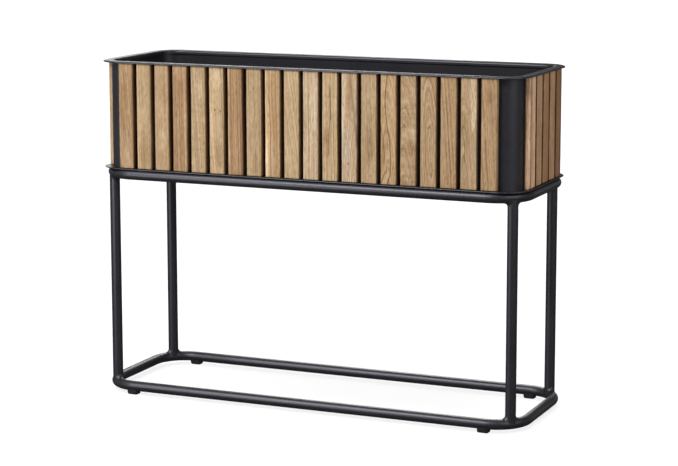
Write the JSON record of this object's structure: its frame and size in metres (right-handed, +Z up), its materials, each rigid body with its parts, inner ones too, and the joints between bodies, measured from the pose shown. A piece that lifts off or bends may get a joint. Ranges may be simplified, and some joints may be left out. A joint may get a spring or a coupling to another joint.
{
  "type": "planter box with stand",
  "caption": "Long black metal planter trough with rounded corners, clad in upright teak slats, that lifts off a round-tube stand with ring rails, legs and glide feet.",
  "frame": {"origin": "on the floor, under the middle of the object", "axes": "+Z up, +X along the length to the right as seen from the front, front towards -Y"},
  "size_m": [1.0024, 0.3344, 0.751],
  "materials": {
    "teak": "satin",
    "black_powder_coat": "satin",
    "black_plastic": "matte",
    "stainless_steel": "satin"
  },
  "bodies": {
    "stand": {"stand_top_ring": "black_powder_coat", "stand_bottom_ring": "black_powder_coat", "leg_front_left": "black_powder_coat", "leg_front_right": "black_powder_coat", "leg_rear_left": "black_powder_coat", "leg_rear_right": "black_powder_coat", "foot_front_left": "black_plastic", "foot_front_right": "black_plastic", "foot_rear_left": "black_plastic", "foot_rear_right": "black_plastic", "box_spacers": "black_plastic"},
    "box": {"tub_wall": "black_powder_coat", "base_plate": "black_powder_coat", "top_rim": "black_powder_coat", "front_slat_01": "teak", "front_slat_02": "teak", "front_slat_03": "teak", "front_slat_04": "teak", "front_slat_05": "teak", "front_slat_06": "teak", "front_slat_07": "teak", "front_slat_08": "teak", "front_slat_09": "teak", "front_slat_10": "teak", "front_slat_11": "teak", "front_slat_12": "teak", "front_slat_13": "teak", "front_slat_14": "teak", "front_slat_15": "teak", "front_slat_16": "teak", "front_slat_17": "teak", "front_slat_18": "teak", "front_slat_19": "teak", "front_slat_20": "teak", "rear_slats_01_02": "teak", "rear_slats_03_04": "teak", "rear_slats_05_06": "teak", "rear_slats_07_08": "teak", "rear_slats_09_10": "teak", "rear_slats_11_12": "teak", "rear_slats_13_14": "teak", "rear_slats_15_16": "teak", "rear_slats_17_18": "teak", "rear_slats_19_20": "teak", "left_slat_1": "teak", "left_slat_2": "teak", "left_slat_3": "teak", "left_slat_4": "teak", "left_slat_5": "teak", "right_slat_1": "teak", "right_slat_2": "teak", "right_slat_3": "teak", "right_slat_4": "teak", "right_slat_5": "teak", "slat_screws": "stainless_steel", "locating_studs": "stainless_steel"}
  },
  "joints": [
    {"name": "box_lift", "type": "slide", "parent": "stand", "child": "box", "axis": [0, 0, 1], "range_m": [0, 0.12]}
  ]
}
